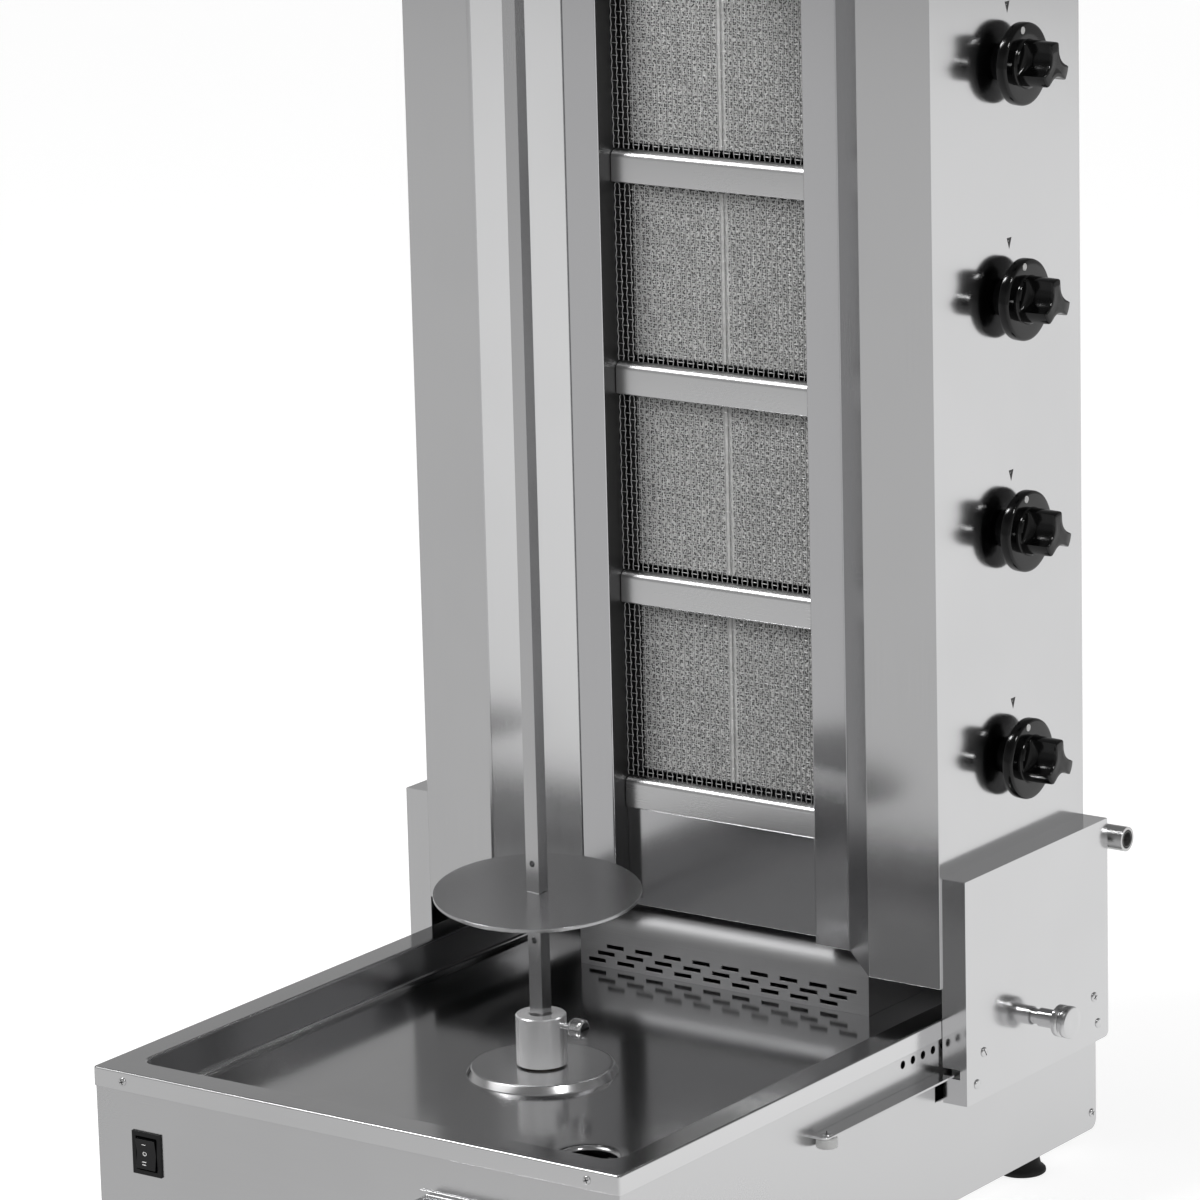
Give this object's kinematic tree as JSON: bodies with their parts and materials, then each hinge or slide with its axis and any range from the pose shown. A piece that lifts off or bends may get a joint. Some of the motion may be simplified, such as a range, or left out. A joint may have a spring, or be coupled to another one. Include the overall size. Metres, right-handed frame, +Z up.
{
  "type": "gas doner kebab grill",
  "caption": "Gas doner grill: a turning vertical spit over a sunk drip pan and drip drawer, faced by a sliding burner tower with gas knobs, mesh guards and a lock plunger.",
  "frame": {"origin": "on the floor, midway between the four feet, under the middle of the cabinet's width", "axes": "+X to the right seen from the front, +Y towards the back, +Z up along the spit"},
  "size_m": [0.5791, 0.7019, 1.058],
  "materials": {
    "satin_steel": "satin",
    "polished_steel": "polished",
    "turned_steel": "polished",
    "zinc_steel": "satin",
    "alloy_rail": "satin",
    "cast_alloy": "matte",
    "motor_paint": "satin",
    "cast_black": "matte",
    "wire_steel": "satin",
    "brass": "satin",
    "bronze": "satin",
    "ceramic_white": "matte",
    "nylon_white": "satin",
    "plastic_black": "satin",
    "gloss_black": "gloss",
    "knob_black": "gloss",
    "rubber_black": "matte"
  },
  "bodies": {
    "base": {"base_cabinet": "satin_steel", "rear_wall": "satin_steel", "bottom_plate": "zinc_steel", "drip_pan": "polished_steel", "rear_cowl": "satin_steel", "foot_pads": "rubber_black", "foot_bolts": "zinc_steel", "switch_housing": "plastic_black", "drawer_runners": "zinc_steel", "gearbox": "cast_alloy", "motor": "motor_paint", "motor_bracket": "zinc_steel", "shaft_flange": "polished_steel", "shaft_bearing": "bronze", "slide_rails": "alloy_rail", "rail_stops": "nylon_white", "cover_screws": "zinc_steel", "cable_gland": "plastic_black"},
    "drawer": {"drawer_box": "satin_steel", "drawer_front": "satin_steel"},
    "rocker": {"switch_rocker": "gloss_black"},
    "spit": {"drive_shaft": "turned_steel", "spit_socket": "turned_steel", "spit_bar": "turned_steel", "meat_disc": "polished_steel", "disc_collar": "turned_steel"},
    "spit_screw": {"thumb_screw": "turned_steel"},
    "tower": {"column_left": "satin_steel", "column_right": "satin_steel", "back_panel": "satin_steel", "top_cap": "satin_steel", "burner_housing": "polished_steel", "cross_bars": "polished_steel", "lower_shield": "satin_steel", "burner_bodies": "cast_black", "ceramic_plates": "ceramic_white", "mesh_guards": "wire_steel", "gas_manifold": "zinc_steel", "gas_valves": "brass", "knob_bezels": "plastic_black", "burner_pipes": "zinc_steel", "gas_inlet": "brass", "side_plates": "satin_steel", "plate_rivets": "turned_steel", "slide_shoes": "nylon_white", "keeper_discs": "nylon_white", "plunger_body": "turned_steel", "plunger_spring": "wire_steel", "top_arm": "satin_steel", "arm_screws": "zinc_steel"},
    "knob_turner_1": {"knob_1": "knob_black", "knob_spindle_1": "brass"},
    "knob_turner_2": {"knob_2": "knob_black", "knob_spindle_2": "brass"},
    "knob_turner_3": {"knob_3": "knob_black", "knob_spindle_3": "brass"},
    "knob_turner_4": {"knob_4": "knob_black", "knob_spindle_4": "brass"},
    "latch": {"lock_pin": "turned_steel", "pull_knob": "turned_steel"}
  },
  "joints": [
    {"name": "drawer_slide", "type": "slide", "parent": "base", "child": "drawer", "axis": [0, -1, 0], "range_m": [0, 0.24]},
    {"name": "switch_rock", "type": "hinge", "parent": "base", "child": "rocker", "pos_m": [-0.199, -0.3305, 0.114], "axis": [1, 0, 0], "range_deg": [-9, 9]},
    {"name": "spit_turn", "type": "hinge", "parent": "base", "child": "spit", "pos_m": [0, -0.089, 0.2], "axis": [0, 0, 1], "continuous": true},
    {"name": "screw_turn", "type": "hinge", "parent": "spit", "child": "spit_screw", "pos_m": [0.03, -0.089, 0.1866], "axis": [1, 0, 0], "range_deg": [0, 360]},
    {"name": "tower_slide", "type": "slide", "parent": "base", "child": "tower", "axis": [0, -1, 0], "range_m": [0, 0.1595]},
    {"name": "pin_pull", "type": "slide", "parent": "tower", "child": "latch", "axis": [1, 0, 0], "range_m": [-0.003, 0.005]},
    {"name": "knob_turn_1", "type": "hinge", "parent": "tower", "child": "knob_turner_1", "pos_m": [0.25, 0.21, 0.3655], "axis": [1, 0, 0], "range_deg": [0, 180]},
    {"name": "knob_turn_2", "type": "hinge", "parent": "tower", "child": "knob_turner_2", "pos_m": [0.25, 0.21, 0.5495], "axis": [1, 0, 0], "range_deg": [0, 180]},
    {"name": "knob_turn_3", "type": "hinge", "parent": "tower", "child": "knob_turner_3", "pos_m": [0.25, 0.21, 0.7335], "axis": [1, 0, 0], "range_deg": [0, 180]},
    {"name": "knob_turn_4", "type": "hinge", "parent": "tower", "child": "knob_turner_4", "pos_m": [0.25, 0.21, 0.9175], "axis": [1, 0, 0], "range_deg": [0, 180]}
  ]
}
